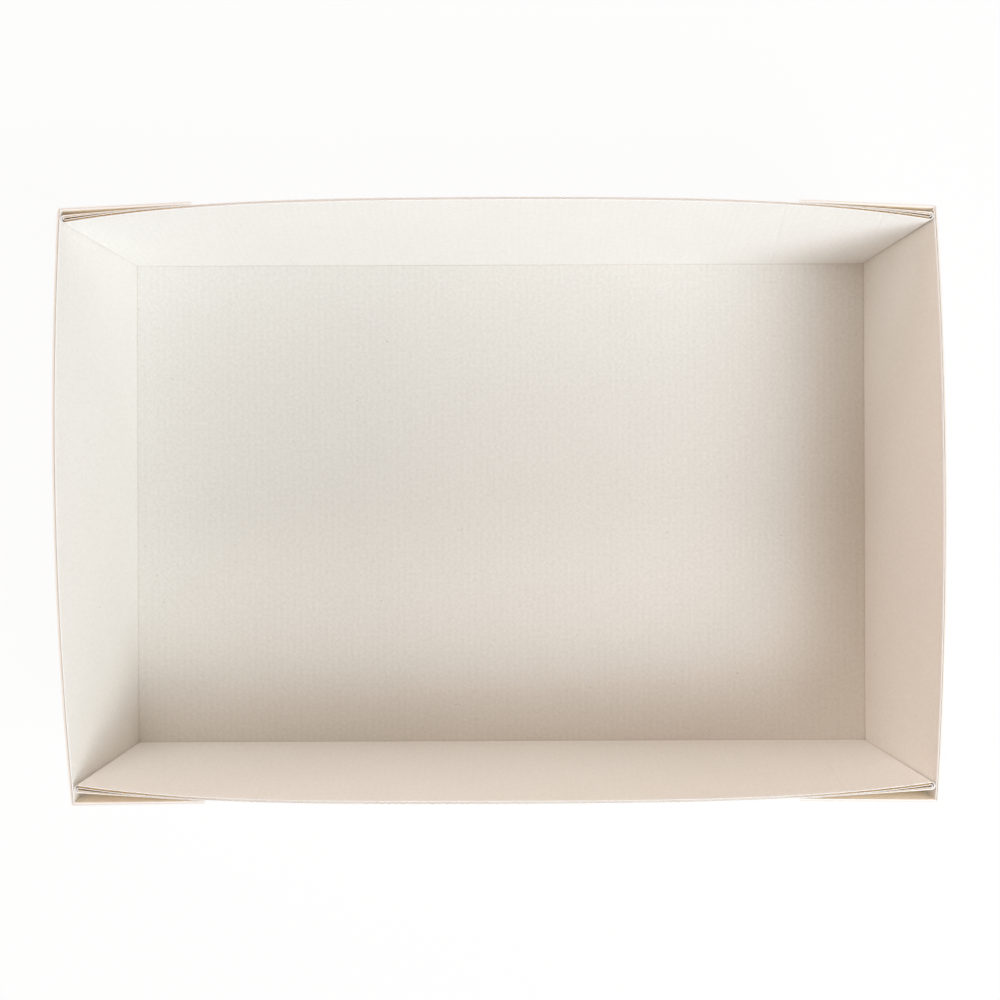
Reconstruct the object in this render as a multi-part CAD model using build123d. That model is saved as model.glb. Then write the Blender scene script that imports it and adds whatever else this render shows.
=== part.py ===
from build123d import *
import math
import os

# Tray folded from one blank of fine-fluted corrugated board, with a folded web at each corner.
# The blank has a floor, two long walls, two short walls and a web between each pair of walls.
# A web is creased along its diagonal. When the walls are raised it folds into a flat double
# triangle that lies against the outside of the long wall, so no corner is cut open. The flutes
# run across the tray: they stand upright in the long walls and lie level in the short walls.
# Frame: millimetres, +Z up, origin at the centre of the underside, long walls along X.

# Floor and walls
floor_length = 371.0            # inside, between the creases of the short walls
floor_width = 243.0             # inside, between the creases of the long walls
wall_height = 85.0              # rim above the inside of the floor, at the corners

# Board
board = 1.5                     # thickness of the fluted board
web_board = 1.2                 # thickness of the web, which is crushed as it is folded
facing = 0.3                    # thickness of the paper on each side of the flutes
flute_paper = 0.2               # thickness of the waved paper between the facings
flute_pitch = 3.3               # length of one whole wave, measured along a rim
mouth_depth = 9.0               # how far down the board the open mouths of the flutes are drawn
mouth_clear = 1.0               # how far their cuts stand above the rim
rim_chords = 8                  # straight lengths that a dipping rim is drawn with
crease_radius = 1.2             # outside radius of the creases round the floor
fold_radius = 1.8               # outside radius where a short wall folds into its webs

# How far the walls' insides lean out beyond the inside of the floor, at the height of the corners
back_lean = 6.2                 # long wall at the back, at its ends
back_lean_at_tip = 12.9         # the same wall where its folded webs end
back_lean_middle = 16.6         # the same wall at its middle
front_lean = 7.2                # long wall at the front, at its ends
front_lean_at_tip = 13.0
front_lean_middle = 15.7
left_lean_back = 14.3           # short wall on the left, at its back end
left_lean_front = 9.1           # the same wall at its front end
left_lean_middle = 17.3
right_lean_back = 12.9
right_lean_front = 12.7
right_lean_middle = 17.6

# Folded webs
loop_gap = 0.9                  # open loop inside the half turn at the end of a long wall
loop_length = 27.0              # how far that gap runs along the rim before it closes
loop_closes_at = 0.2            # the share of the wall's height at which the gap closes below
loop_tail = 3.0                 # length of the gap there
loop_bite = 0.15                # how far the gap's cut runs into the long wall's board
back_web_gap = 2.0              # gap between the two layers of a back web, at the corner
front_web_gap = 4.6             # the same at the front, where the webs have sprung open
left_back_creep = -1.6          # how far the tip of each web lies outside its exact fold
right_back_creep = -2.2
left_front_creep = 0.8
right_front_creep = -5.1
tip_web = 0.35                  # crushed thickness of the inner layer at the tip of a web
tip_lap = 0.2                   # how deep the two layers are pressed together at the tip
corner_crush = 0.65             # how deep the two layers are pressed together at the floor
corner_fold = 0.05              # how far the inner layer stands proud of the wall at the floor
corner_tail = 1.2               # width of each layer at the floor's corner
turn_contact = 0.2              # how deep a half turn is pressed into the short wall

# Sizes worked out from the driving dimensions
BACK, FRONT = 1, -1
LEFT, RIGHT = -1, 1
rim_z = board + wall_height
floor_x = floor_length / 2
floor_y = floor_width / 2
long_lean = {BACK: back_lean, FRONT: front_lean}
long_lean_at_tip = {BACK: back_lean_at_tip, FRONT: front_lean_at_tip}
long_lean_middle = {BACK: back_lean_middle, FRONT: front_lean_middle}
short_lean = {(LEFT, BACK): left_lean_back, (LEFT, FRONT): left_lean_front,
              (RIGHT, BACK): right_lean_back, (RIGHT, FRONT): right_lean_front}
short_lean_middle = {LEFT: left_lean_middle, RIGHT: right_lean_middle}
web_gap = {BACK: back_web_gap, FRONT: front_web_gap}
tip_creep = {(LEFT, BACK): left_back_creep, (LEFT, FRONT): left_front_creep,
             (RIGHT, BACK): right_back_creep, (RIGHT, FRONT): right_front_creep}


def lift(edges, z):
    """Face at height z from edges that are drawn in plan."""
    return Pos(0, 0, z) * make_face(edges).face()


def raise_panel(low_edges, high_edges):
    """Panel between two plan sections, one at the floor and one at the rim."""
    return loft([lift(low_edges, board), lift(high_edges, rim_z)], ruled=True)


def turn_radius(at_rim):
    """Outside radius of the half turn that carries a long wall into its web."""
    if at_rim:
        return (board + loop_gap + web_board) / 2
    return (board + corner_fold) / 2


def wall_end(side, end, at_rim):
    """Where the inside face of a long wall ends and its half turn begins."""
    x = floor_x + (short_lean[side, end] if at_rim else 0)
    y = floor_y + (long_lean[end] if at_rim else 0)
    return x + turn_contact - turn_radius(at_rim), y


def outer_layer_start(end, at_rim):
    """From a long wall's inside face to the inside of the web's outer layer, at the corner."""
    if at_rim:
        return 2 * turn_radius(True) + web_gap[end]
    return board + corner_fold - corner_crush


def tip_x(side, end):
    """Where the tip of a folded web lies at the rim.

    The angles of the panels that meet at the floor's corner add up to a full turn, and the
    diagonal crease halves what the floor and the two walls leave for the web.
    """
    long_slant = math.hypot(wall_height, long_lean[end])
    short_slant = math.hypot(wall_height, short_lean[side, end])
    long_splay = math.atan2(short_lean[side, end], long_slant)
    short_splay = math.atan2(long_lean[end] + outer_layer_start(end, True), short_slant)
    web_angle = math.pi / 2 - long_splay - short_splay
    return floor_x - long_slant * math.tan(web_angle / 2 - long_splay) + tip_creep[side, end]


def long_rim(end):
    """Inside edge of a long rim, bowed outwards."""
    left_x, end_y = wall_end(LEFT, end, True)
    right_x, end_y = wall_end(RIGHT, end, True)
    tip_y = floor_y + long_lean_at_tip[end]
    middle_y = floor_y + long_lean_middle[end]
    points = [(-left_x, end_y), (-tip_x(LEFT, end), tip_y), (0, middle_y), (tip_x(RIGHT, end), tip_y),
              (right_x, end_y)]
    return Spline(*[(x, end * y) for x, y in points])


def long_wall(end):
    """Long wall: straight along its crease, bowed outwards along its rim."""
    def section(inside):
        outside = Pos(0, end * board) * inside
        return [inside, Line(inside @ 1, outside @ 1), outside, Line(outside @ 0, inside @ 0)]
    left_x, end_y = wall_end(LEFT, end, False)
    right_x, end_y = wall_end(RIGHT, end, False)
    crease = Line((-left_x, end * end_y), (right_x, end * end_y))
    return raise_panel(section(crease), section(long_rim(end)))


def inner_layer_outline(side, end, at_rim):
    """Outline of a half turn and the web's inner layer, from the turn's far end to its near end."""
    x, y = wall_end(side, end, at_rim)
    if at_rim:
        end_x, end_y = tip_x(side, end), floor_y + long_lean_at_tip[end]
        end_thickness = tip_web
    else:
        end_x, end_y = x - corner_tail, y
        end_thickness = corner_fold / 2
    return [(x, y + 2 * turn_radius(at_rim)), (end_x, end_y + board + end_thickness),
            (end_x, end_y + board / 2), (x, y + board / 2), (x, y)]


def loop_gap_end(side, end):
    """Where the far side of the gap beside a half turn meets the long wall, at the rim."""
    x, y = wall_end(side, end, True)
    slope = (long_lean_at_tip[end] - long_lean[end]) / (x - tip_x(side, end))
    return x - loop_length, y + board + slope * loop_length


def flat_sided(low, high):
    """Solid between two outlines with as many corners, its sides made of flat triangles."""
    faces = [Face(Wire.make_polygon(low)), Face(Wire.make_polygon(high))]
    corners = list(zip(low, high))
    for (a, b), (c, d) in zip(corners, corners[1:] + corners[:1]):
        faces += [Face(Wire.make_polygon([a, c, d])), Face(Wire.make_polygon([a, d, b]))]
    return Solid(Shell(faces))


def loop_hole(side, end):
    """Narrow gap that stays open between a long wall and the inner layer of its web."""
    low_z = board + loop_closes_at * wall_height

    def outline(x, y, gap, gap_end, z):
        near = y + board - loop_bite
        far = y + board + gap
        end_x, end_y = gap_end
        points = [(x, far), (end_x, end_y), (end_x, end_y - loop_bite), (x, near),
                  (x + (far - near) / 2, (near + far) / 2)]
        return [(side * px, end * py, z) for px, py in points]

    (low_x, low_y), (high_x, high_y) = wall_end(side, end, False), wall_end(side, end, True)
    x = low_x + loop_closes_at * (high_x - low_x)
    y = low_y + loop_closes_at * (high_y - low_y)
    low = outline(x, y, loop_bite, (x - loop_tail, y + board), low_z)
    high = outline(high_x, high_y, loop_gap, loop_gap_end(side, end), rim_z)
    return flat_sided(low, high)


def inner_layer(side, end):
    """Half turn at the end of a long wall, and the web's inner layer that it carries."""
    def section(at_rim):
        x, y = wall_end(side, end, at_rim)
        radius = turn_radius(at_rim)
        points = [(side * px, end * py) for px, py in inner_layer_outline(side, end, at_rim)]
        turn = ThreePointArc(points[-1], (side * (x + radius), end * (y + radius)), points[0])
        return [turn, *[Line(a, b) for a, b in zip(points, points[1:])]]
    return raise_panel(section(False), section(True)) - loop_hole(side, end)


def short_wall(side):
    """Short wall with the outer layers of its two webs, which wrap round its corners."""
    def section(at_rim):
        inside, outside = [], []
        for end in (FRONT, BACK):
            x = floor_x + (short_lean[side, end] if at_rim else 0)
            y = floor_y + (long_lean[end] if at_rim else 0) + outer_layer_start(end, at_rim)
            if at_rim:
                end_x = tip_x(side, end)
                end_y = floor_y + long_lean_at_tip[end] + board + tip_web - tip_lap
            else:
                end_x, end_y = x - corner_tail, y
            inside.append([(side * end_x, end * end_y), (side * x, end * y)])
            outside.append([(side * end_x, end * (end_y + web_board)),
                            (side * (x + board), end * (y + web_board))])
        if at_rim:
            middle = floor_x + short_lean_middle[side]
            face_in = ThreePointArc(inside[0][1], (side * middle, 0), inside[1][1])
            face_out = ThreePointArc(outside[0][1], (side * (middle + board), 0), outside[1][1])
        else:
            face_in = Line(inside[0][1], inside[1][1])
            face_out = Line(outside[0][1], outside[1][1])
        edges = [face_in, Line(inside[1][1], inside[1][0]), Line(inside[1][0], outside[1][0]),
                 Line(outside[1][0], outside[1][1]), face_out,
                 Line(outside[0][1], outside[0][0]), Line(outside[0][0], inside[0][0]),
                 Line(inside[0][0], inside[0][1])]
        face = make_face(edges)
        corners = [v for v in face.vertices()
                   if min((v.center() - Vector(*o[1])).length for o in outside) < 0.01]
        return fillet(corners, fold_radius if at_rim else web_board).face()
    return loft([Pos(0, 0, board) * section(False), Pos(0, 0, rim_z) * section(True)], ruled=True)


def floor():
    """Floor, with the rounded creases along its four sides."""
    slab = Box(floor_length + 2 * board, floor_width + 2 * board, board,
               align=(Align.CENTER, Align.CENTER, Align.MIN))
    return fillet(slab.edges().group_by(Axis.Z)[0], crease_radius)


def flute_mouths(rim, thickness_at, lean_at, end):
    """Open mouths of the upright flutes along a rim, on both sides of the waved paper.

    The waved paper is drawn as a zigzag between the facings, so each mouth is a triangle that
    stands on one facing and points at the other. It narrows to a point as it runs down the board.
    """
    tools = []
    half_wave = flute_pitch / 2
    for step in range(1, int(rim.length / half_wave)):
        share = step * half_wave / rim.length
        thickness = thickness_at(share)
        slope = (thickness - 2 * facing) / half_wave
        half_base = half_wave - flute_paper / 2 / math.sin(math.atan(slope))
        base, point = facing, facing + half_base * slope
        if step % 2:
            base, point = thickness - base, thickness - point
        start = rim @ share
        along = Vector((rim % share).X, (rim % share).Y, 0).normalized()
        across = Vector(0, 0, 1).cross(along)
        across = across * (1 if across.Y * end > 0 else -1)
        up = Vector(0, end * lean_at(abs(start.Y)), wall_height).normalized()
        foot = start + across * ((base + point) / 2) - up * mouth_depth
        growth = (mouth_depth + mouth_clear) / mouth_depth
        corners = [start + along * -half_base + across * base, start + along * half_base + across * base,
                   start + across * point]
        corners = [foot + (corner - foot) * growth for corner in corners]
        sides = [[foot, a, b] for a, b in zip(corners, corners[1:] + corners[:1])]
        tools.append(Solid(Shell([Face(Wire.make_polygon(side)) for side in [corners, *sides]])))
    return tools


def long_wall_mouths(end):
    """Mouths of the flutes in the rim of a long wall."""
    return flute_mouths(Pos(0, 0, rim_z) * long_rim(end), lambda share: board, lambda y: y - floor_y, end)


def inner_layer_mouths(side, end):
    """Mouths of the flutes in the rim of a web's inner layer, as far as the gap beside it runs."""
    x, y = wall_end(side, end, True)
    gap_end_x, gap_end_y = loop_gap_end(side, end)
    (far_x, far_y), (web_end_x, web_end_y) = inner_layer_outline(side, end, True)[:2]
    end_thickness = far_y + (web_end_y - far_y) * loop_length / (far_x - web_end_x) - gap_end_y
    rim = Line((side * x, end * (y + board + loop_gap), rim_z), (side * gap_end_x, end * gap_end_y, rim_z))
    return flute_mouths(rim, lambda share: web_board + (end_thickness - web_board) * share,
                        lambda y: y - floor_y - board, end)


def rim_dip(lean, lean_middle):
    """How far a rim sinks at its middle, because the wall leans further there than at its ends."""
    slant = math.hypot(wall_height, lean)
    return wall_height - math.sqrt(slant ** 2 - lean_middle ** 2)


def dip_cut(start, stop, dip, direction):
    """What is cut off above a rim that sinks in an arc between two corners."""
    above = rim_z + dip
    arc = ThreePointArc((start, rim_z), ((start + stop) / 2, rim_z - dip), (stop, rim_z))
    chords = Polyline(*[arc @ (step / rim_chords) for step in range(rim_chords + 1)])
    profile = make_face([*chords.edges(), *Polyline((stop, rim_z), (stop, above), (start, above),
                                                    (start, rim_z)).edges()])
    plane = Plane(origin=(0, 0, 0), x_dir=direction, z_dir=Vector(*direction).cross(Vector(0, 0, 1)))
    return plane, profile


def long_rim_cut(end):
    """Cut that gives a long wall and its webs their dipping rim."""
    dip = rim_dip(long_lean[end], long_lean_middle[end])
    start = -floor_x - short_lean[LEFT, end]
    stop = floor_x + short_lean[RIGHT, end]
    plane, profile = dip_cut(start, stop, dip, (1, 0, 0))
    return extrude(plane * profile, amount=floor_width, dir=(0, end, 0))


def short_rim_cut(side):
    """Cut that gives a short wall its dipping rim."""
    lean = (short_lean[side, FRONT] + short_lean[side, BACK]) / 2
    dip = rim_dip(lean, short_lean_middle[side])
    start = -floor_y - long_lean[FRONT]
    stop = floor_y + long_lean[BACK]
    plane, profile = dip_cut(start, stop, dip, (0, 1, 0))
    return extrude(plane * profile, amount=floor_length, dir=(side, 0, 0))


def tray():
    """The whole folded board as one solid."""
    panels = [floor()]
    for end in (BACK, FRONT):
        panels.append(long_wall(end))
        panels += [inner_layer(side, end) for side in (LEFT, RIGHT)]
    panels += [short_wall(side) for side in (LEFT, RIGHT)]
    cuts = [short_rim_cut(side) for side in (LEFT, RIGHT)]
    for end in (BACK, FRONT):
        cuts += [long_rim_cut(end), *long_wall_mouths(end)]
        cuts += [mouth for side in (LEFT, RIGHT) for mouth in inner_layer_mouths(side, end)]
    return Part() + panels - cuts


body = tray()
print("tray:", len(body.solids()), "solid,", len(body.faces()), "faces,", round(body.volume), "mm3,",
      "valid" if body.is_valid else "not valid")
os.makedirs("parts", exist_ok=True)
export_step(body, "parts/tray.step")
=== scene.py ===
# %% [markdown]
# # A folded tray of fluted board
#
# The real object is one sheet. Two paper facings are glued to the two sides of a waved paper, and
# the sheet is creased, folded and glued into a tray with a folded web at each corner. The fixed
# model holds the sheet as one solid of the right size. This script shows the same sheet as its
# papers: an inside facing, an outside facing and the waved paper that can be seen in the cut rims.
#
# ## Load the fixed frame
#
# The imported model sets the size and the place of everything. Its box is kept, so that the finished
# papers can be compared with it at the end. All lengths below are in millimetres, and each mesh is
# brought to metres when it is finished.

# %% Load the frame
import math

import bmesh
import bpy
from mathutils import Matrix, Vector, noise


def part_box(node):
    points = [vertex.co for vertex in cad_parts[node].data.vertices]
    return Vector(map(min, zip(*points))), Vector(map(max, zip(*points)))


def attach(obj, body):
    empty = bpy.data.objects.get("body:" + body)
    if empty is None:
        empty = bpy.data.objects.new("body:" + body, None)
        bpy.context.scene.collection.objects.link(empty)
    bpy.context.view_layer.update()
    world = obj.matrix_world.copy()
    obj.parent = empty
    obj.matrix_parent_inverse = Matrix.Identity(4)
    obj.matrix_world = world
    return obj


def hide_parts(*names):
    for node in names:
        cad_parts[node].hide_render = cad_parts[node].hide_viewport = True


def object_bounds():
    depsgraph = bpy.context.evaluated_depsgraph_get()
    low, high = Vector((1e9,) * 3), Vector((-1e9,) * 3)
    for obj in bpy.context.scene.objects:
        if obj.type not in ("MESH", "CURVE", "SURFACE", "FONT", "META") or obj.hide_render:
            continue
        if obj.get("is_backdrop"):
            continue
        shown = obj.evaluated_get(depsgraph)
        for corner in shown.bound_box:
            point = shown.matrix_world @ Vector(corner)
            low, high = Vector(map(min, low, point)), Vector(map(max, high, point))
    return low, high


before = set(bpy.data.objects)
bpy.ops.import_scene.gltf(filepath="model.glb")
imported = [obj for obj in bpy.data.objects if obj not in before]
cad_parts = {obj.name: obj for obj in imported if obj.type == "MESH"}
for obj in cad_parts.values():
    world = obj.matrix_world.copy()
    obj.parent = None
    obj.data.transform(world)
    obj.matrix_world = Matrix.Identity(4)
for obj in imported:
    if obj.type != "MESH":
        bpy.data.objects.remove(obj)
cad_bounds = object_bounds()
MM = 0.001
low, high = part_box("tray")
print("fixed tray, mm:", [round((b - a) / MM, 1) for a, b in zip(low, high)])

# %% [markdown]
# ## The sizes of the folded sheet
#
# The tray is drawn by its creases and its rims. The floor is a plain rectangle. Each rim stands
# outside the floor, more at its middle than at its ends, because the walls spring outwards. The
# four corners have sprung by different amounts, and that is kept, because it gives the real tray
# its slightly crooked outline.
#
# A lean is how far a rim lies outside its crease. In the webs the board is pressed thinner. Each
# half turn leaves a thin loop open inside it, and each web a long gap between its two layers. The
# tips of the webs have also crept along the wall, each by its own small amount.

# %% Driving sizes
board = 1.5
web_board = 1.2
floor_x = 371.0 / 2
floor_y = 243.0 / 2
wall_height = high.z / MM - board
BACK, FRONT = 1, -1
LEFT, RIGHT = -1, 1
long_lean = {BACK: 6.2, FRONT: 7.2}
long_lean_at_tip = {BACK: 12.9, FRONT: 13.0}
long_lean_middle = {BACK: 16.3, FRONT: 15.4}
short_lean = {(LEFT, BACK): 14.3, (LEFT, FRONT): 9.1, (RIGHT, BACK): 12.9, (RIGHT, FRONT): 12.7}
short_lean_middle = {LEFT: 17.0, RIGHT: 17.3}
loop_gap = 0.9
loop_length = 27.0
web_gap = {BACK: 2.0, FRONT: 4.6}
tip_web = 0.35
tip_creep = {(LEFT, BACK): -1.6, (LEFT, FRONT): 0.8, (RIGHT, BACK): -2.2, (RIGHT, FRONT): -5.1}
flute_pitch = 3.3
print("inside floor, mm:", 2 * floor_x, "x", 2 * floor_y)
print("wall height, mm:", round(wall_height, 1))


# %% [markdown]
# ## Where each part of a rim lies
#
# A wall is straight where it is creased and curved at its rim, and every flute between the two is
# straight, so a wall is a ruled surface. A flute keeps its length, so where a wall leans further
# its rim also stands lower. Two small functions give the lean of a wall at a place along its rim,
# and from them follows the rim itself as points in space.


# %% Rims as curves
def turn_radius():
    """Outside radius of the half turn at the end of a long wall, at the rim."""
    return (board + loop_gap + web_board) / 2


def wall_end_x(side, end):
    """Where the inside face of a long wall ends at the rim."""
    return floor_x + short_lean[side, end] - turn_radius()


def web_start(end):
    """From a long wall's inside face to the inside of the web's outer layer, at the rim."""
    return 2 * turn_radius() + web_gap[end]


def tip_x(side, end):
    """Distance of a web's tip from the middle: its diagonal crease halves the web."""
    long_slant = math.hypot(wall_height, long_lean[end])
    short_slant = math.hypot(wall_height, short_lean[side, end])
    long_splay = math.atan2(short_lean[side, end], long_slant)
    short_splay = math.atan2(long_lean[end] + web_start(end), short_slant)
    web_angle = math.pi / 2 - long_splay - short_splay
    return floor_x - long_slant * math.tan(web_angle / 2 - long_splay) + tip_creep[side, end]


def long_rim(end, x):
    """Inside edge of a long rim at the place x, as a point."""
    side = LEFT if x < 0 else RIGHT
    tip, corner = tip_x(side, end) ** 2, wall_end_x(side, end) ** 2
    tip_slope = (long_lean_middle[end] - long_lean_at_tip[end]) / tip
    corner_slope = (long_lean_middle[end] - long_lean[end]) / corner
    fourth = (corner_slope - tip_slope) / (corner - tip)
    second = tip_slope - fourth * tip
    lean = long_lean_middle[end] - second * x ** 2 - fourth * x ** 4
    slant = math.hypot(wall_height, long_lean[end])
    return Vector((x, end * (floor_y + lean), board + math.sqrt(slant ** 2 - lean ** 2)))


def short_rim(side, share):
    """Inside edge of a short rim, from its front corner at share 0 to its back corner at 1."""
    front, middle, back = short_lean[side, FRONT], short_lean_middle[side], short_lean[side, BACK]
    bow = middle - (front + back) / 2
    lean = front + (back - front) * share + 4 * bow * share * (1 - share)
    slant_front, slant_back = math.hypot(wall_height, front), math.hypot(wall_height, back)
    slant = slant_front + (slant_back - slant_front) * share
    y_front = -(floor_y + long_lean[FRONT] + web_start(FRONT))
    y_back = floor_y + long_lean[BACK] + web_start(BACK)
    y = y_front + (y_back - y_front) * share
    return Vector((side * (floor_x + lean), y, board + math.sqrt(slant ** 2 - lean ** 2)))


for end, name in ((BACK, "back"), (FRONT, "front")):
    print(name, "rim at its middle:", [round(v, 1) for v in long_rim(end, 0)])
    print(name, "web tips at x:", [round(side * tip_x(side, end), 1) for side in (LEFT, RIGHT)])

# %% [markdown]
# ## One strip that runs round the whole tray
#
# The four walls and the eight layers of the webs are one unbroken strip of board. It could be
# built wall by wall and joined, but then each fold would need its own mend. Here it is a list of
# stations instead. A station is one straight line through the board, from the crease to the rim,
# and it knows where the inside facing and the outside facing are at both ends. It also knows how
# far the board is pressed there: in the webs the waved paper is crushed against the facings, so
# they look thicker and hardly any flute stays open.
#
# Walking round the stations follows the sheet through every fold: along the long wall, round the
# half turn, back along the inner layer of the web, round the tip, out along the outer layer, and
# round the corner into the short wall. The four layer names count the faces of the two facings,
# from the inside of the tray to its outside.


# %% Stations of the walls
UPRIGHT, LEVEL = "upright", "level"
INSIDE, LINING, COVER, OUTSIDE = range(4)
facing = 0.34
open_board = (0, facing / board, 1 - facing / board, 1)
pressed_board = (0, 0.5, 0.78, 1)
points_per_wave = 10
short_wall_points = 49


class Station:
    """A line up the board: inside and outside face, at the crease and at the rim."""

    def __init__(self, in_low, in_high, out_low, out_high, wave, pressed=0.0):
        self.in_low, self.in_high = in_low, in_high
        self.out_low, self.out_high = out_low, out_high
        self.wave, self.pressed = wave, pressed

    def at(self, height, depth):
        """Point at a share of the height, and a share of the depth from the inside face."""
        inside = self.in_low.lerp(self.in_high, height)
        outside = self.out_low.lerp(self.out_high, height)
        return inside.lerp(outside, depth)

    def depth(self, layer):
        """Depth at which a paper begins or ends: the facings are thicker in a pressed web."""
        return open_board[layer] + (pressed_board[layer] - open_board[layer]) * self.pressed


crushed_fold = 0.05
low_turn_radius = (board + crushed_fold) / 2


def spread(count):
    """Even shares from 0 to 1, both ends included."""
    return [i / (count - 1) for i in range(count)]


def long_wall_stations(end):
    """Stations of a long wall, from its left end to its right end."""
    left, right = -wall_end_x(LEFT, end), wall_end_x(RIGHT, end)
    low_left, low_right = low_turn_radius - floor_x, floor_x - low_turn_radius
    count = round((right - left) / flute_pitch * points_per_wave) + 1
    outwards = Vector((0, end * board, 0))
    stations = []
    for share in spread(count):
        rim = long_rim(end, left + (right - left) * share)
        crease = Vector((low_left + (low_right - low_left) * share, end * floor_y, board))
        stations.append(Station(crease, rim, crease + outwards, rim + outwards, UPRIGHT))
    return stations


def short_wall_stations(side):
    """Stations of a short wall, from its front end to its back end."""
    reach = floor_y + board + crushed_fold
    outwards = Vector((side * board, 0, 0))
    stations = []
    for share in spread(short_wall_points):
        rim = short_rim(side, share)
        crease = Vector((side * floor_x, reach * (2 * share - 1), board))
        stations.append(Station(crease, rim, crease + outwards, rim + outwards, LEVEL))
    return stations


# %% [markdown]
# A corner is four short pieces of the same strip. The half turn carries the long wall into its
# web. The inner layer lies back along the wall, and behind it a thin gap stays open near the
# corner and closes after a few centimetres. At the tip the sheet doubles back on its diagonal
# crease. The outer layer then runs out to the corner and folds into the short wall.


# %% Stations of a corner
half_turn_points = 15
tip_points = 9
outer_layer_points = 20
corner_fold_points = 10


def place(side, end, x, y, z):
    """Point of a corner, drawn for the right-hand back corner and brought to any of the four."""
    return Vector((side * x, end * y, z))


def half_turn_stations(side, end):
    """Half turn at the end of a long wall, seen from above at the rim and at the floor."""
    high_r, low_r = turn_radius(), low_turn_radius
    high_gap = loop_gap / 2
    rim = long_rim(end, side * wall_end_x(side, end))
    stations = []
    for share in spread(half_turn_points)[1:]:
        angle = math.pi * (share - 0.5)
        run, rise = math.cos(angle), 1 + math.sin(angle)
        x, y = abs(rim.x) + high_r * run, abs(rim.y) + high_r * rise
        in_high = place(side, end, x, y, rim.z)
        x, y = abs(rim.x) + high_gap * run, abs(rim.y) + board + high_gap * rise
        out_high = place(side, end, x, y, rim.z)
        in_low = place(side, end, floor_x - low_r + low_r * run, floor_y + low_r * rise, board)
        y = floor_y + board + crushed_fold / 2 * share
        out_low = place(side, end, floor_x - low_r, y, board)
        stations.append(Station(in_low, in_high, out_low, out_high, UPRIGHT, share))
    return stations


def inner_layer_stations(side, end):
    """Inner layer of a web, from the half turn to the tip."""
    start_x, stop_x = wall_end_x(side, end), tip_x(side, end)
    start_y = abs(long_rim(end, side * start_x).y) + 2 * turn_radius()
    stop_y = abs(long_rim(end, side * stop_x).y) + board + tip_web
    count = round((start_x - stop_x) / flute_pitch * points_per_wave) + 1
    low_x = floor_x - low_turn_radius
    stations = []
    for share in spread(count)[1:]:
        x = start_x + (stop_x - start_x) * share
        rim = long_rim(end, side * x)
        gap = max(crushed_fold, loop_gap * (1 - (start_x - x) / loop_length))
        in_high = place(side, end, x, start_y + (stop_y - start_y) * share, rim.z)
        out_high = place(side, end, x, abs(rim.y) + board + gap, rim.z)
        low = low_x - board * share
        in_low = place(side, end, low, floor_y + board + crushed_fold, board)
        out_low = place(side, end, low, floor_y + board + crushed_fold / 2, board)
        stations.append(Station(in_low, in_high, out_low, out_high, UPRIGHT, 1))
    return stations


def outer_layer_stations(side, end):
    """Tip, outer layer of the web and the fold into the short wall."""
    tip = inner_layer_stations(side, end)[-1]
    share = 1 if end == BACK else 0
    corner = short_rim(side, share)
    low_in = place(side, end, floor_x, floor_y + board + crushed_fold, board)
    tip_in, tip_low = tip.in_high, tip.in_low
    outwards = Vector((0, end * web_board, 0))
    outwards_low = outwards / 2
    middle = (tip.out_high + tip_in + outwards) / 2
    radius = (tip_in + outwards - tip.out_high).length / 2
    stations = []
    for share in spread(tip_points)[1:]:
        angle = math.pi * share
        swing = Vector((-side * radius * math.sin(angle), -end * radius * math.cos(angle), 0))
        out_low = tip.out_low.lerp(tip_low + outwards_low, share)
        stations.append(Station(tip_low, tip_in, out_low, middle + swing, LEVEL, 1))
    for share in spread(outer_layer_points)[1:]:
        in_high, in_low = tip_in.lerp(corner, share), tip_low.lerp(low_in, share)
        out_low, out_high = in_low + outwards_low, in_high + outwards
        stations.append(Station(in_low, in_high, out_low, out_high, LEVEL, 1))
    for share in spread(corner_fold_points)[1:-1]:
        angle = math.pi / 2 * share
        sideways = Vector((side * board * math.sin(angle), 0, 0))
        out_low = low_in + sideways + outwards_low * math.cos(angle)
        out_high = corner + sideways + outwards * math.cos(angle)
        stations.append(Station(low_in, corner, out_low, out_high, LEVEL, 1 - share))
    return stations


def corner_stations(side, end):
    """All stations of a corner, from the long wall to the short wall."""
    return (half_turn_stations(side, end) + inner_layer_stations(side, end)
            + outer_layer_stations(side, end))


def ring_stations():
    """The whole strip, clockwise seen from above, starting at the left end of the back wall."""
    ring = long_wall_stations(BACK) + corner_stations(RIGHT, BACK)
    ring += short_wall_stations(RIGHT)[::-1] + corner_stations(RIGHT, FRONT)[::-1]
    ring += long_wall_stations(FRONT)[::-1] + corner_stations(LEFT, FRONT)
    ring += short_wall_stations(LEFT) + corner_stations(LEFT, BACK)[::-1]
    return ring


ring = ring_stations()
print("stations round the tray:", len(ring))

# %% [markdown]
# ## The two facings
#
# A facing is a thin paper. Its mesh starts as a flat grid with one column for each station. Half
# of its rows are the paper's front and half are its back, so the grid closes on itself into a
# thin hollow band, and every row is then laid on its height. Heights are shares of the wall's
# height, and they crowd together near the rim, because only there is the paper not straight. The
# die that cut the blank pinched the facings between the flutes, which gives the rim its scalloped
# edge, so the rows near the rim are drawn in a little where no flute holds the paper out. The cut
# is also a little worn, so it dips unevenly.

# %% Rows, pinch and wear at the rim
rows = [0, 0.4, 0.8, 0.9, 0.94, 0.965, 0.98, 0.99, 0.996, 1]
pinch = 0.1
pinch_fade = 5 / 3
wear, wear_scale, layer_scale = 0.12, 0.35, 0.2


def wave_at(point):
    """Height of the waved paper at a point of an upright wall, from -1 to 1."""
    return math.cos(2 * math.pi * point.x / flute_pitch)


def rim_fall(height):
    """How strongly the pinch and the wear are felt at a height: 1 at the rim, less below it."""
    return math.exp(-(1 - height) * wall_height / pinch_fade)


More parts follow.
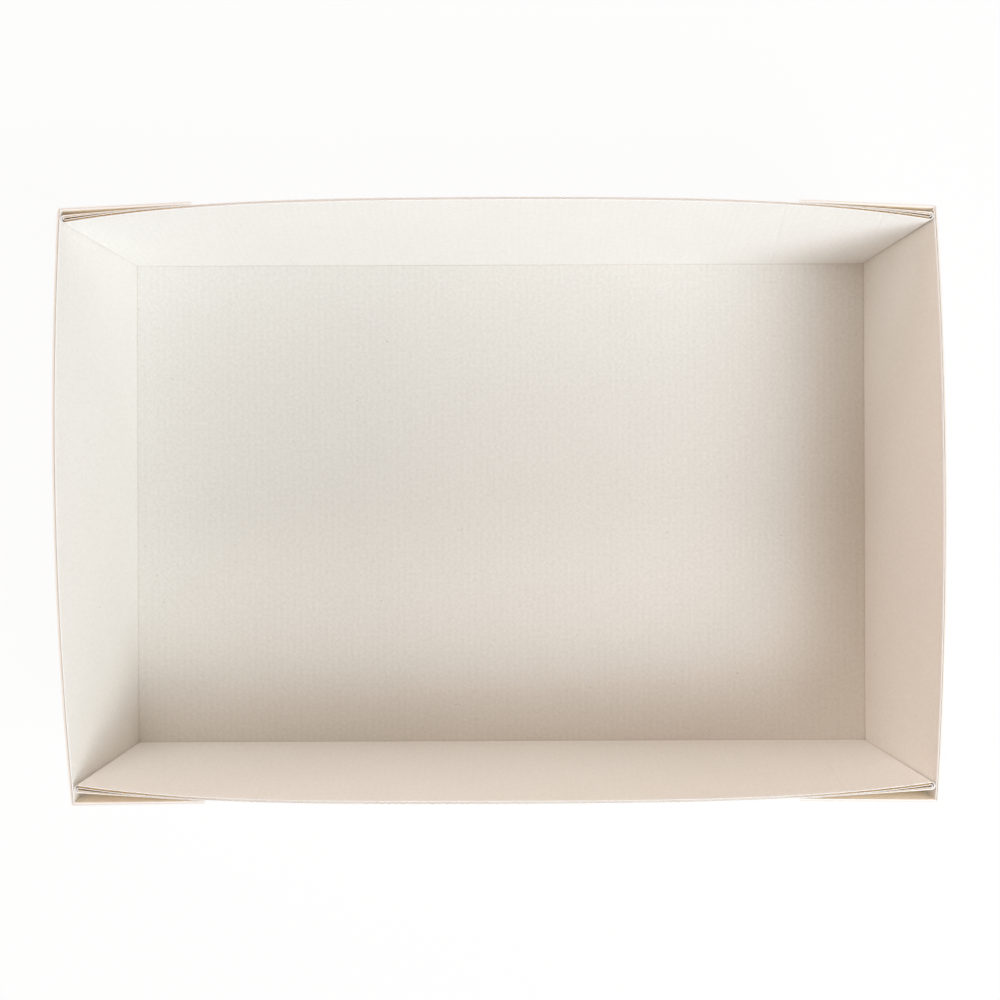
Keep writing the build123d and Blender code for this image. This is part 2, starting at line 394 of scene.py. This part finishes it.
def rim_wear(station):
    """How far the cut edge lies below the true rim at a station: small uneven dips."""
    seed = station.in_high * wear_scale
    dips = noise.noise(Vector((seed.x, seed.y, station.out_high.y * layer_scale)))
    return wear + wear * dips


def paper_point(station, height, layer):
    """Point of a facing, with the pinch and the wear of the cut edge."""
    point = station.at(height, station.depth(layer))
    if station.wave == UPRIGHT:
        lift = wave_at(station.in_high)
        across = station.out_high - station.in_high
        inward = (1 - lift) / 2 if layer in (COVER, OUTSIDE) else -(1 + lift) / 2
        point -= across.normalized() * inward * pinch * (1 - station.pressed) * rim_fall(height)
    point.z -= rim_wear(station) * rim_fall(height)
    return point


# %% [markdown]
# The helper below makes any such band. It takes the stations and the rows, where a row is a height
# and a layer. The grid operator gives the faces, and each vertex is then moved to its station and
# row, so that the fold is made like the real one: from a flat sheet.
#
# Each vertex also keeps three numbers that the paper's finish needs. The first is how far it lies
# across the flutes, because the flutes show faintly through the facings. The second says whether
# it is on the cut edge of the rim, where the finish paints a highlight. The third says how far it
# is shut into a web, where the finish paints the warm light that bounces from paper to paper into
# the pocket, and shade into the loop.


# %% Band helper
cut_height, cut_reach = 0.99, 0.006
merge_distance = 0.0001
sharp_angle = math.radians(38)


def across_flutes(station, point, height):
    """Distance across the flutes: along the wall where they stand upright, up it where they lie."""
    return point.x if station.wave == UPRIGHT else floor_x + height * wall_height


def clamp(value):
    """The value, kept between 0 and 1."""
    return max(0.0, min(1.0, value))


def at_cut(height):
    """1 at the cut edge of the rim, falling to 0 just below it: where the finish paints a highlight.
    """
    return clamp((height - cut_height) / cut_reach)


def in_web(station, height, layer):
    """How far a face is shut into a web: up to 1 in its pocket, down to -1 in its loop. The finish
    paints warm bounce light into the pocket and shade into the loop by it.
    """
    hidden = clamp(2 * station.pressed - 1) * clamp(height)
    if layer in (INSIDE, LINING):
        return hidden
    return -hidden if station.wave == UPRIGHT else 0.0


def number_layer(bm, name):
    """Number that each vertex of the mesh keeps, under the given name."""
    return bm.verts.layers.float.get(name) or bm.verts.layers.float.new(name)


def band(bm, stations, rows, point_at, web_at=in_web):
    """Hollow band of paper. The first and the last row meet, and so do the ends of a full ring."""
    across, cut, web = (number_layer(bm, name) for name in ("across", "cut", "web"))
    columns, last_row = len(stations) - 1, len(rows) - 1
    grid = bmesh.ops.create_grid(bm, x_segments=columns, y_segments=last_row, size=0.5)
    for vert in grid["verts"]:
        station = stations[round((vert.co.x + 0.5) * columns)]
        height, layer = rows[round((vert.co.y + 0.5) * last_row)]
        vert.co = point_at(station, height, layer)
        vert[across] = across_flutes(station, vert.co, max(height, 0))
        vert[cut] = at_cut(height)
        vert[web] = web_at(station, height, layer)
    bmesh.ops.remove_doubles(bm, verts=grid["verts"], dist=merge_distance)


def cap_ends(bm):
    """Closes the two open ends of a band that doesn't run right round the tray."""
    open_edges = [edge for edge in bm.edges if edge.is_boundary]
    bmesh.ops.holes_fill(bm, edges=open_edges, sides=0)


def finish_piece(bm, name, material):
    """Turns a finished bmesh in millimetres into an object in metres that rides with the tray."""
    bmesh.ops.recalc_face_normals(bm, faces=bm.faces)
    bmesh.ops.scale(bm, vec=(MM, MM, MM), verts=bm.verts)
    mesh = bpy.data.meshes.new(name)
    bm.to_mesh(mesh)
    bm.free()
    mesh.polygons.foreach_set("use_smooth", [True] * len(mesh.polygons))
    mesh.set_sharp_from_angle(angle=sharp_angle)
    mesh.materials.append(material)
    piece = bpy.data.objects.new(name, mesh)
    bpy.context.scene.collection.objects.link(piece)
    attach(piece, "root")
    print(name, "faces:", len(mesh.polygons))
    return piece


# %% [markdown]
# ## The paper's finish
#
# The facing is a bleached paper, off-white and quite matt. Close to, it has short fibres, a cloudy
# tone, a few dark specks, and faint lines where it dips between the flutes: the dips are a bump,
# and the darker colour along them is painted shade. All of it could be painted as a picture, but
# noise and waves stay sharp at any distance and need no file. The small class below lets their
# sums be written as plain expressions.


# %% Paint helper
class Value:
    """A socket of a material, so that sums on it can be written with + - and *."""

    def __init__(self, paint, socket):
        self.paint, self.socket = paint, socket

    def sum(self, operation, first, second):
        """One sum on two numbers or sockets."""
        node = self.paint.node("ShaderNodeMath", {"operation": operation}, {0: first, 1: second})
        return Value(self.paint, node.outputs[0])

    def __add__(self, other):
        return self.sum("ADD", self, other)

    __radd__ = __add__

    def __mul__(self, other):
        return self.sum("MULTIPLY", self, other)

    __rmul__ = __mul__

    def __sub__(self, other):
        return self.sum("SUBTRACT", self, other)

    def __rsub__(self, other):
        return self.sum("SUBTRACT", other, self)

    def curve(self, operation, other=0.0):
        """Any sum that has no sign of its own, by its name."""
        return self.sum(operation, self, other)


class Paint:
    """A material under construction."""

    def __init__(self, name, roughness, specular):
        self.material = bpy.data.materials.new(name)
        self.material.use_nodes = True
        self.nodes = self.material.node_tree.nodes
        self.links = self.material.node_tree.links
        self.shader = self.nodes["Principled BSDF"]
        self.shader.inputs["Roughness"].default_value = roughness
        self.shader.inputs["Specular IOR Level"].default_value = specular
        self.place = self.node("ShaderNodeTexCoord").outputs["Object"]

    def node(self, kind, settings=None, values=None):
        """Any node: its settings first, then the values or links of its sockets."""
        node = self.nodes.new(kind)
        for key, setting in (settings or {}).items():
            setattr(node, key, setting)
        for key, value in (values or {}).items():
            self.feed(node.inputs[key], value)
        return node

    def feed(self, socket, value):
        """Sets a socket, or links it if the value is itself a socket."""
        value = value.socket if isinstance(value, Value) else value
        if isinstance(value, bpy.types.NodeSocket):
            self.links.new(value, socket)
        else:
            socket.default_value = value

    def noise(self, scale, detail, stretch=(1, 1, 1)):
        """Noise in space, from 0 to 1, drawn out along an axis by a smaller stretch."""
        place = self.node("ShaderNodeMapping", values={"Vector": self.place, "Scale": stretch})
        values = {"Vector": place.outputs[0], "Scale": scale, "Detail": detail}
        return Value(self, self.node("ShaderNodeTexNoise", values=values).outputs["Fac"])

    def axes(self):
        """The place along each axis, in metres."""
        node = self.node("ShaderNodeSeparateXYZ", values={0: self.place})
        return [Value(self, socket) for socket in node.outputs]

    def attribute(self, name):
        """A number that the mesh carries."""
        settings = {"attribute_name": name, "attribute_type": "GEOMETRY"}
        return Value(self, self.node("ShaderNodeAttribute", settings).outputs["Fac"])

    def mix(self, share, first, second):
        """Colour between two colours."""
        node = self.node("ShaderNodeMix", {"data_type": "RGBA"})
        self.feed(node.inputs["Factor"], share)
        self.feed(node.inputs[6], first)
        self.feed(node.inputs[7], second)
        return node.outputs[2]

    def colour(self, value):
        """The colour of the surface."""
        self.feed(self.shader.inputs["Base Color"], value)

    def glow(self, value):
        """A trace of light of its own, too weak to be treated as a lamp."""
        self.feed(self.shader.inputs["Emission Color"], value)
        self.shader.inputs["Emission Strength"].default_value = 1.0
        self.material.cycles.emission_sampling = "NONE"

    def relief(self, height):
        """Bump in the surface, where height is in millimetres."""
        values = {"Height": height, "Distance": MM, "Strength": 1.0}
        node = self.node("ShaderNodeBump", values=values)
        self.feed(self.shader.inputs["Normal"], node.outputs[0])


# %% [markdown]
# The creases round the floor are painted as thin brown lines of shade, and the folding has left a
# few faint slanted marks in the long walls near the corners, as dents in the bump. Each is a line
# in space, given by its distance. A mark is given by its wall and by its place at the crease and
# at the rim.


# %% Creases and marks
wall_marks = [(FRONT, 159.7, 157.7), (FRONT, -171.7, -158.0), (BACK, 184.0, 175.5),
              (BACK, 137.5, 131.0)]
mark_reach = 1.1
crease_reach, crease_height = 0.6, 0.8


def near_line(distance, reach):
    """1 on a line, falling to 0 at the given reach in millimetres on either side of it."""
    return (1 - distance.curve("ABSOLUTE") * (1 / (reach * MM))).curve("MAXIMUM", 0.0)


def marks_on_walls(x, y, z):
    """Faint slanted marks that the folding left in the long walls near the corners."""
    marks = 0.0
    share = (z - board * MM) * (1 / (wall_height * MM))
    for end, low_x, high_x in wall_marks:
        line = near_line(x - low_x * MM - share * ((high_x - low_x) * MM), mark_reach)
        on_wall = (y * end).curve("GREATER_THAN", (floor_y + crease_reach) * MM)
        marks = line * on_wall + marks
    return marks


def floor_creases(x, y, z):
    """Lines of the floor creases, where the walls rise from the floor and the finish paints shade.
    """
    ends = near_line(x.curve("ABSOLUTE") - floor_x * MM, crease_reach)
    sides = near_line(y.curve("ABSOLUTE") - floor_y * MM, crease_reach)
    return ends.curve("MAXIMUM", sides) * near_line(z - board * MM, crease_height)


# %% [markdown]
# The finish of the facings is built up in this order: first the sheet with its fibres, then
# painted warm bounce light in the pockets of the webs and painted shade in their loops, the lines
# of the flutes with painted shade along their dips, the creases as painted lines of shade, the
# specks, and last a painted highlight on the cut rim. Between the close faces of a pocket light
# passes to and fro many more times than a render follows it, so the pocket's paper gets a trace of
# light of its own.


# %% Finish of the facings
paper_dark, paper_light = (0.77, 0.75, 0.705, 1), (0.93, 0.918, 0.885, 1)
# Painted light in the webs: a lighter, warm colour for the bounce light in the pockets, and a dark
# golden one for the shade in the loops.
pocket_painted_bounce, loop_painted_shade = (0.98, 0.915, 0.81, 1), (0.80, 0.56, 0.26, 1)
# Painted shade: darker lines along the dips of the flutes and brown lines in the floor creases. The
# specks are the paper's own.
flute_dip_shade, crease_painted_shade, speck = (0.55, 0.51, 0.45, 1), (0.45, 0.33, 0.2, 1), (0.42, 0.36, 0.29, 1)
# Painted highlight on the cut rim.
rim_painted_highlight = (0.98, 0.98, 0.98, 1)
no_glow, pocket_glow = (0, 0, 0, 1), (0.05, 0.038, 0.026, 1)


def facing_paper():
    """Bleached facing with clouds, fibres, specks and the faint lines of the flutes, and painted
    light and shade in the webs, the creases and on the cut rim.
    """
    paint = Paint("facing_paper", roughness=0.82, specular=0.18)
    x, y, z = paint.axes()
    turns = paint.attribute("across") * (2 * math.pi / flute_pitch)
    flutes = turns.curve("COSINE") * 0.5 + 0.5
    clouds = paint.noise(38, 4)
    streaks = paint.noise(150, 2, stretch=(1, 0.25, 0.25))
    fibres = paint.noise(1500, 3, stretch=(1, 0.45, 1))
    grain = paint.noise(620, 4)
    specks = paint.noise(430, 2).curve("GREATER_THAN", 0.775)
    on_floor = z.curve("LESS_THAN", (board + 0.1) * MM)
    texture = (grain * 0.7 + fibres * 0.3 - 0.5) * (on_floor * 0.45 + 1)
    sheet = paint.mix(clouds * 0.12 + texture + 0.44, paper_dark, paper_light)
    web = paint.attribute("web")
    pocket, loop = web.curve("MAXIMUM", 0.0), web.curve("MINIMUM", 0.0) * -1
    # Painted bounce light in the pockets and painted shade in the loops of the webs.
    web_painted_light = paint.mix(loop, paint.mix(pocket, sheet, pocket_painted_bounce), loop_painted_shade)
    washboard_strength = streaks * (on_floor * 0.035 + 0.04)
    # Darker lines along the flutes: painted shade of their dips.
    lined = paint.mix(flutes * washboard_strength, web_painted_light, flute_dip_shade)
    # Brown lines in the floor creases: painted shade.
    with_crease_shade = paint.mix(floor_creases(x, y, z) * 0.22, lined, crease_painted_shade)
    speckled = paint.mix(specks * 0.4, with_crease_shade, speck)
    # The cut rim is whitened as a painted highlight.
    paint.colour(paint.mix(paint.attribute("cut"), speckled, rim_painted_highlight))
    paint.glow(paint.mix(pocket, no_glow, pocket_glow))
    marks = marks_on_walls(x, y, z)
    paint.relief(flutes * washboard_strength * 0.4 + grain * 0.05 + fibres * 0.05 - marks * 0.12)
    return paint.material


facing_finish = facing_paper()
print("finish of the facings:", facing_finish.name)

# %% [markdown]
# The waved paper is a little darker and warmer than the facings. Its flutes stand wider open near
# the corners, and their cut ends look brown there.


# %% Finish of the waved paper
waved_dark, waved_light = (0.90, 0.82, 0.72, 1), (0.98, 0.94, 0.88, 1)
waved_brown = (0.74, 0.50, 0.20, 1)


def waved_paper():
    """Paper of the flutes, browner near the corners."""
    paint = Paint("waved_paper", roughness=0.9, specular=0.1)
    pale = paint.mix(paint.noise(900, 4), waved_dark, waved_light)
    paint.colour(paint.mix(paint.attribute("web"), pale, waved_brown))
    paint.relief(paint.noise(1400, 3) * 0.05)
    return paint.material


waved_finish = waved_paper()
print("finish of the flutes:", waved_finish.name)

# %% [markdown]
# ## Inside facing
#
# The inside facing covers the floor and the insides of the walls, then goes round the half turns
# and lines the pockets of the webs. Its band is the inside face of the board and a second face one
# paper deeper. The floor is a thin sheet of its own that meets the band along the creases.


# %% Inside facing
floor_columns, floor_rows = 40, 26


def floor_sheet(bm, bottom):
    """Thin sheet of facing over the whole floor, from the bottom height upwards."""
    across = number_layer(bm, "across")
    grid = bmesh.ops.create_grid(bm, x_segments=floor_columns, y_segments=floor_rows, size=1)
    bmesh.ops.scale(bm, vec=(floor_x, floor_y, 1), verts=grid["verts"])
    bmesh.ops.translate(bm, vec=(0, 0, bottom), verts=grid["verts"])
    faces = list({face for vert in grid["verts"] for face in vert.link_faces})
    raised = bmesh.ops.extrude_face_region(bm, geom=faces, use_keep_orig=True)
    top = [item for item in raised["geom"] if isinstance(item, bmesh.types.BMVert)]
    bmesh.ops.translate(bm, vec=(0, 0, facing), verts=top)
    for vert in list(grid["verts"]) + top:
        vert[across] = vert.co.x


closed_ring = ring + ring[:1]
front_rows = [(height, INSIDE) for height in rows]
back_rows = [(height, LINING) for height in reversed(rows)]
bm = bmesh.new()
band(bm, closed_ring, front_rows + back_rows + front_rows[:1], paper_point)
floor_sheet(bm, board - facing)
inside_facing = finish_piece(bm, "inside_facing", facing_finish)
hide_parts("tray")

# %% [markdown]
# ## Outside facing
#
# The outside facing goes one step further than the inside one. At the floor it rolls round the
# crease, a quarter of a circle about the inside corner, and runs in under the tray. Heights below
# zero stand for that quarter turn.


# %% Outside facing
crease_steps = 4


def outside_point(station, height, layer):
    """Point of the outside facing, where a height from 0 to -1 is the roll of the floor crease."""
    if height >= 0:
        return paper_point(station, height, layer)
    turn = -height * math.pi / 2
    depth = station.depth(layer)
    inside_x = max(-floor_x, min(floor_x, station.in_low.x))
    inside_y = max(-floor_y, min(floor_y, station.in_low.y))
    inside = Vector((inside_x, inside_y, board))
    rolled = inside + (station.at(0, depth) - inside) * math.cos(turn)
    rolled.z = board * (1 - depth * math.sin(turn))
    return rolled


roll = [-1 + step / crease_steps for step in range(crease_steps)]
outer_rows = [(height, OUTSIDE) for height in roll + rows]
inner_rows = [(height, COVER) for height in reversed(roll + rows)]
bm = bmesh.new()
band(bm, closed_ring, outer_rows + inner_rows + outer_rows[:1], outside_point)
floor_sheet(bm, 0)
finish_piece(bm, "outside_facing", facing_finish)

# %% [markdown]
# ## Waved paper in the rims
#
# The flutes stand upright in the long walls and in the inner layers of the webs, so the cut goes
# straight across them and each wave shows. In the short walls and the outer layers the flutes lie
# level, and the cut runs along one of them, so the rim is a groove with a strip of waved paper in
# it. Only the part of the waved paper that can be seen from the cut edge is made.
#
# The glue and the cut have thickened the waved paper, so it fills a good part of the room between
# the facings. The fill is that part as a share. It is larger where the board is pressed, and
# smaller near the corners, where the flutes have sprung open.

# %% Shape of the waved paper
open_fill, pressed_fill, corner_opening = 0.55, 0.8, 0.25
corner_start, corner_reach = 125, 50
upright_rows = [0.87, 0.93, 0.97, 0.99, 1]
level_waves = 2.6
level_start = 0.2


def by_corner(station):
    """How near to a corner an upright flute is, from 0 to 1."""
    if station.wave == LEVEL:
        return 0.0
    return clamp((abs(station.in_high.x) - corner_start) / corner_reach)


def waved_point(station, height, face, wave):
    """Point on a face of the waved paper, -1 or 1, where the wave is at a height from -1 to 1."""
    lining, cover = station.depth(LINING), station.depth(COVER)
    fill = open_fill + (pressed_fill - open_fill) * station.pressed
    fill -= corner_opening * by_corner(station)
    depth = (lining + cover) / 2 + (cover - lining) / 2 * (wave * (1 - fill) + face * fill)
    point = station.at(height, depth)
    point.z -= rim_wear(station) * rim_fall(height)
    return point


def upright_point(station, height, face):
    """Waved paper that stands upright: its depth follows the wave along the wall."""
    return waved_point(station, height, face, wave_at(station.in_high))


def level_point(station, height, face):
    """Waved paper that lies level: its depth follows the wave down from the rim."""
    turns = (1 - height) * wall_height / flute_pitch
    return waved_point(station, height, face, math.cos(2 * math.pi * turns - level_start))


# %% [markdown]
# Each run of flutes becomes one strip. The upright strips take the stations of a long wall or of
# an inner layer. A level strip starts at one tip, follows the outer layer into the short wall and
# ends at the tip of the next web.


# %% Waved paper
def waved_strip(bm, stations, heights, point_at):
    """One strip of waved paper with a front and a back; cap_ends closes its ends later."""
    front = [(height, -1) for height in heights]
    back = [(height, 1) for height in reversed(heights)]
    band(bm, stations, front + back + front[:1], point_at,
         lambda station, height, face: by_corner(station))


level_depth = level_waves * flute_pitch / wall_height
level_count = round(level_waves * points_per_wave)
level_rows = [1 - level_depth * (1 - share) for share in spread(level_count)]
bm = bmesh.new()
for end in (BACK, FRONT):
    waved_strip(bm, long_wall_stations(end), upright_rows, upright_point)
    for side in (LEFT, RIGHT):
        waved_strip(bm, inner_layer_stations(side, end), upright_rows, upright_point)
for side in (LEFT, RIGHT):
    level_run = outer_layer_stations(side, BACK) + short_wall_stations(side)[::-1]
    level_run += outer_layer_stations(side, FRONT)[::-1]
    waved_strip(bm, level_run, level_rows, level_point)
cap_ends(bm)
finish_piece(bm, "waved_paper", waved_finish)

# %% [markdown]
# ## Floor, light and camera
#
# The tray stands on a plain pale floor. The floor's material has two parts: a matt white that
# sends light back to the tray, and a plain white that is only there for the camera. The camera
# sees nearly all of the second, so the background is white without any more light on the tray,
# and the small rest keeps a trace of the tray's shadow.


# %% Stage
stage_reach = 6
seen_white = 0.94


def stage_floor():
    """Large pale floor that the camera sees as white, apart from a trace of the tray's shadow."""
    bm = bmesh.new()
    bmesh.ops.create_grid(bm, x_segments=1, y_segments=1, size=stage_reach)
    mesh = bpy.data.meshes.new("stage_floor")
    bm.to_mesh(mesh)
    bm.free()
    paint = Paint("stage_white", roughness=0.9, specular=0.0)
    paint.colour((0.9, 0.9, 0.9, 1))
    rays = paint.node("ShaderNodeLightPath").outputs
    white = paint.node("ShaderNodeEmission", values={"Color": (1, 1, 1, 1), "Strength": 1.0})
    seen = Value(paint, rays["Is Camera Ray"]) * seen_white
    parts = {0: seen, 1: paint.shader.outputs[0], 2: white.outputs[0]}
    blend = paint.node("ShaderNodeMixShader", values=parts)
    output = paint.nodes["Material Output"]
    paint.links.new(blend.outputs[0], output.inputs["Surface"])
    mesh.materials.append(paint.material)
    floor = bpy.data.objects.new("stage_floor", mesh)
    bpy.context.scene.collection.objects.link(floor)
    floor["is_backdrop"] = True


stage_floor()

# %% [markdown]
# The photograph's light is soft. Most of it comes from the lower right of the picture, from a key
# lamp in front of the tray and to its right, so the left and back walls are the brightest, and the
# right and front walls throw a soft shade over the floor beside them. Three weaker lamps stand low
# in front, behind and to the left, and light the walls across from them. A dim, warm sky fills the
# corners. The colours of the lamps differ a little, because light that has met the room's walls
# and the table reaches the tray from each side.


# %% Light
def area_light(name, place, size, power, colour):
    """Soft square lamp that points at the tray."""
    lamp = bpy.data.lights.new(name, "AREA")
    lamp.shape = "SQUARE"
    lamp.size = size
    lamp.energy = power
    lamp.color = colour
    holder = bpy.data.objects.new(name, lamp)
    holder.location = place
    holder.rotation_euler = (-Vector(place)).to_track_quat("-Z", "Y").to_euler()
    bpy.context.scene.collection.objects.link(holder)


sky_strength, sky_colour = 0.34, (1, 0.75, 0.56, 1)
lamps = [
    ("key", (1.0, -0.85, 1.25), 0.9, 24.2, (0.84, 0.94, 1)),
    ("low_front", (0.4, -1.7, 0.6), 0.9, 10.6, (0.77, 0.86, 1)),
    ("low_back", (-0.2, 1.7, 0.55), 0.9, 13.4, (1, 0.91, 0.875)),
    ("low_left", (-1.8, 0.2, 0.55), 0.9, 9.1, (1, 0.79, 0.71)),
]
world = bpy.data.worlds.new("studio")
bpy.context.scene.world = world
world.use_nodes = True
sky = world.node_tree.nodes["Background"]
sky.inputs["Color"].default_value = sky_colour
sky.inputs["Strength"].default_value = sky_strength
for name, place, size, power, colour in lamps:
    area_light(name, place, size, power, colour)
print("lamps:", [lamp[0] for lamp in lamps])

# %% [markdown]
# The camera hangs straight above the tray. The floor of the tray is 0.793 m below it, which makes
# the rims look as much larger than the floor as they do in the photograph. The picture's centre
# lies a little off the point below the lens, and a small shift brings that in. The photograph is
# also turned by a fifth of a degree, and the camera is rolled by as much.

# %% Camera
picture = 1000
focal_pixels = 1553
camera_place = (0.0064, -0.0064, 0.793 + board * MM)
camera_roll = -0.0038
below_lens = (513.8, 515.3)
sensor = 36
camera = bpy.data.cameras.new("camera")
camera.sensor_width = sensor
camera.lens = sensor * focal_pixels / picture
camera.shift_x = (picture / 2 - below_lens[0]) / picture
camera.shift_y = (below_lens[1] - picture / 2) / picture
holder = bpy.data.objects.new("camera", camera)
holder.location = camera_place
holder.rotation_euler = (0, 0, camera_roll)
bpy.context.scene.collection.objects.link(holder)
bpy.context.scene.camera = holder
bpy.context.scene.view_settings.view_transform = "Standard"
print("lens, mm:", round(camera.lens, 1))

# %% [markdown]
# ## Print both boxes
#
# The papers are meant to lie within the fixed model's box. Both boxes are printed.

# %% Finish
boxes = [[list(corner) for corner in box] for box in (cad_bounds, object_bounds())]
print("fixed model, mm:", [[round(v / MM, 2) for v in corner] for corner in boxes[0]])
print("papers, mm:", [[round(v / MM, 2) for v in corner] for corner in boxes[1]])
